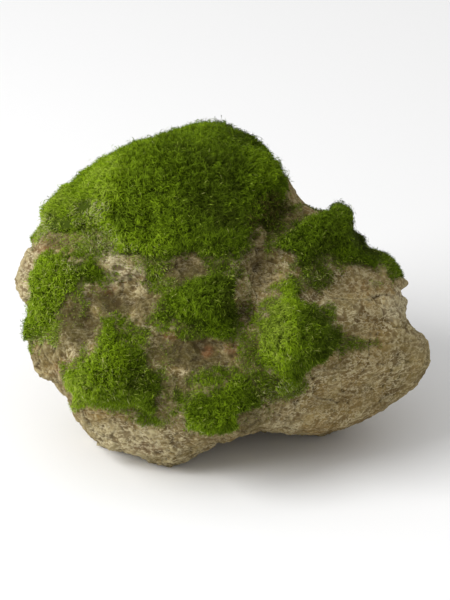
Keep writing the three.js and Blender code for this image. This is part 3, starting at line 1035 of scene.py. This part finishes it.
def cushion_shoots(name, surface, random):
    """The shoots of one cushion, from its sunken mat up to its outer sheet."""
    sheet = sheets[name]
    areas = face_areas(sheet["points"], sheet["faces"])
    place, normal, rim, thin, ragged = cushion_places(sheet, areas, random)
    count = len(place)
    clump, spread, clump_tint, clump_height = clumps_of(place, areas.sum(), random)
    lean = CLUMP_LEAN * (place - clump) / CLUMP_SPACING
    lean = lean + COMBED_LEAN * noise_vectors(place, 16 * MM)
    lean = lean + SWEPT_LEAN * noise_vectors(place, 42 * MM, 3.7)
    lean = lean + LOOSE_LEAN * random.normal(0, 1, (count, 3))
    lean[:, 2] -= SAG
    direction = unit(normal + lean)
    inner = smoothstep(0, 6, rim)
    length = SHOOT_LENGTH * (0.6 + 0.4 * inner) * random.uniform(0.7, 1.2, count)
    pocket = smoothstep(0.25, 0.7, noise_at(place, 9 * MM, 2.2))
    drop = 0.7 * spread ** 2 - 0.45 * clump_height + 1.0 * pocket - 0.8 * noise_at(place, 16 * MM, 8.8)
    stray = random.uniform(0.5, 2.0, count) * (random.random(count) < STRAY_SHARE)
    rise = random.normal(0.8, 0.45, count) + stray - drop * inner - 1.5 * thin - 0.8 * (1 - inner)
    swell = swell_at(place)
    least = np.where(rim > COVERED_FROM, SHOOT_COVER - height_over(surface, place, normal), -np.inf)
    rise = np.maximum(rise + swell, least)
    tip = place + normal * (rise * MM)[:, None]
    root = tip - direction * length[:, None]
    middle = root + unit(direction + 0.45 * normal) * (0.5 * length)[:, None]
    # Painted shade and painted light: shoots in sunken pockets are tinted darker, and those on swellings
    # lighter
    shift = 0.04 * clump_tint - 0.06 * pocket + 0.03 * swell
    tint = moss_tints(place, normal, shift, ragged, 0.02 + 0.12 * (1 - inner) + 0.4 * thin, random)
    width = SHOOT_HALF_WIDTH * random.uniform(0.75, 1.25, count)
    return shoots_from(root, middle, tip, normal, width, tint, random)


def film_shoots(name, surface, random):
    """The short shoots round one cushion that grow on the stone itself."""
    film = surface["attributes"]["film"]
    faces = surface["faces"]
    mine = (surface["owner"][faces[:, 0]] == MOSS_NODES.index(name)) & (film[faces].max(axis=1) > 0.02)
    faces = faces[mine]
    weights = face_areas(surface["points"], faces) * (film * surface["open"])[faces].mean(axis=1)
    count = int(weights.sum() / MM ** 2 * FILM_PER_MM2)
    corners, shares = scattered(faces, weights, count, random)
    place = between(surface["points"], corners, shares)
    normal = unit(between(surface["normals"], corners, shares))
    thick = between(film, corners, shares)
    lean = 0.7 * noise_vectors(place, 14 * MM, 2.7) + 0.45 * random.normal(0, 1, (count, 3))
    lean[:, 2] -= 0.3
    direction = unit(normal + lean)
    length = SHOOT_LENGTH * (0.3 + 0.45 * thick) * random.uniform(0.6, 1.2, count)
    root = place - normal * 0.4 * MM
    tip = root + direction * length[:, None]
    middle = root + unit(direction + 0.5 * normal) * (0.5 * length)[:, None]
    ragged = 0.4 * noise_at(place, 6 * MM, 4.8)
    tint = moss_tints(place, normal, 0.0, ragged, 0.10 + 0.38 * (1 - thick), random)
    width = SHOOT_HALF_WIDTH * random.uniform(0.65, 1.1, count)
    return shoots_from(root, middle, tip, normal, width, tint, random)


def thatch(name, surface):
    """The mat between the shoots, darkened as painted shade: the cushion's sheet, sunk under the tips and
    worn back at its rim.
    """
    sheet = sheets[name]
    points, faces = sheet["points"], sheet["faces"]
    inside = (sheet["from_rim"] - sheet["worn"]) / MM
    used, inverse = np.unique(faces[inside[faces].min(axis=1) > 0.6], return_inverse=True)
    depth = THATCH_DEPTH * (0.55 + 0.45 * smoothstep(0, 7, inside[used]))
    lift = swell_at(points[used]) * MM - depth
    above = height_over(surface, points[used], sheet["normals"][used])
    least = np.where(inside[used] > COVERED_FROM, MAT_COVER - above, -np.inf) * MM
    sunk = points[used] + sheet["normals"][used] * np.maximum(lift, least)[:, None]
    # The mat's dark tint and its low place along the shoots paint it in shade
    return sunk, inverse.reshape(-1, 3), np.full(len(used), 0.2), np.full(len(used), 0.25)


def joined(parts):
    """Several (points, faces, tint, along) as one."""
    starts = np.cumsum([0] + [len(part[0]) for part in parts])
    faces = [part[1] + start for part, start in zip(parts, starts)]
    return (
        np.concatenate([part[0] for part in parts]),
        np.concatenate(faces),
        np.concatenate([part[2] for part in parts]),
        np.concatenate([part[3] for part in parts]),
    )


def faces_where(shoots, keep):
    """The shoots, as (points, faces, tint, along), that have their roots where keep is true."""
    points, faces, tint, along = shoots
    chosen = np.repeat(keep(points[0::4]), 4)
    numbers = np.cumsum(chosen) - 1
    kept_faces = numbers[faces[chosen[faces[:, 0]]]]
    return points[chosen], kept_faces, tint[chosen], along[chosen]


def shoot_map(tint, along, faces):
    """Map places that give every shoot of the same tint the same strip of the map."""
    u = 0.02 + 0.96 * tint[faces] + np.array([-0.004, 0.0, 0.004])
    v = 0.02 + 0.96 * along[faces]
    return np.stack([u, v], axis=2).reshape(-1, 2)


def moss_piece(name, node, parts, material):
    """One piece of moss, in place of a CAD cushion or half of one."""
    points, faces, tint, along = joined(parts)
    piece = mesh_object(name, points, faces, {"tint": tint, "along": along}, shoot_map(tint, along, faces))
    piece.data.materials.append(material)
    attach(piece, "root")
    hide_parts(node)


def make_moss(name, surface, seed, material):
    """The moss of one CAD cushion; the crown has so many shoots that it is made in two halves."""
    random = np.random.default_rng(seed)
    shoots = cushion_shoots(name, surface, random)
    film = film_shoots(name, surface, random)
    mat = thatch(name, surface)
    if name != "moss_crown":
        moss_piece(name + "_shoots", name, [mat, shoots, film], material)
        return
    middle = np.median(shoots[0][0::4, 1])
    moss_piece(name + "_front", name, [mat, faces_where(shoots, lambda p: p[:, 1] < middle)], material)
    moss_piece(name + "_rear", name, [film, faces_where(shoots, lambda p: p[:, 1] >= middle)], material)


# Studio

def make_floor():
    """A plain pale floor."""
    bpy.ops.mesh.primitive_plane_add(size=FLOOR_SIZE)
    floor = bpy.context.object
    floor.name = "floor"
    material, _, _, shader = new_material("pale_floor")
    shader.inputs["Base Color"].default_value = FLOOR_COLOUR
    shader.inputs["Roughness"].default_value = 0.9
    floor.data.materials.append(material)


def make_light(name, place, size, watts):
    """A soft square light that faces the stone."""
    data = bpy.data.lights.new(name, "AREA")
    data.size = size
    data.energy = watts
    light = bpy.data.objects.new(name, data)
    light.location = place
    light.rotation_euler = (Vector(MIDDLE) - Vector(place)).to_track_quat("-Z", "Y").to_euler()
    bpy.context.scene.collection.objects.link(light)


def make_camera():
    """The photo's camera."""
    distance = PICTURE_HEIGHT * LENS_MM / SENSOR_MM
    data = bpy.data.cameras.new("camera")
    data.lens = LENS_MM
    data.clip_end = 100
    camera = bpy.data.objects.new("camera", data)
    aim = MIDDLE + ACROSS * 0.5 * MM
    camera.location = aim + TOWARD * distance
    camera.rotation_euler = (math.pi / 2 - VIEW_TILT, 0, 0)
    bpy.context.scene.collection.objects.link(camera)
    bpy.context.scene.camera = camera


def make_studio():
    """Floor, lights, surroundings and camera."""
    make_floor()
    make_light("key", KEY_PLACE, KEY_SIZE, KEY_WATTS)
    world = bpy.data.worlds.new("studio")
    world.use_nodes = True
    background = world.node_tree.nodes["Background"]
    background.inputs["Color"].default_value = (1, 1, 1, 1)
    background.inputs["Strength"].default_value = SURROUND_STRENGTH
    bpy.context.scene.world = world
    bpy.context.scene.view_settings.view_transform = "Standard"
    make_camera()


make_studio()
ground = make_stone()
shared_moss = moss_material()
for index, node in enumerate(MOSS_NODES):
    make_moss(node, ground, FIRST_SEED + index, shared_moss)
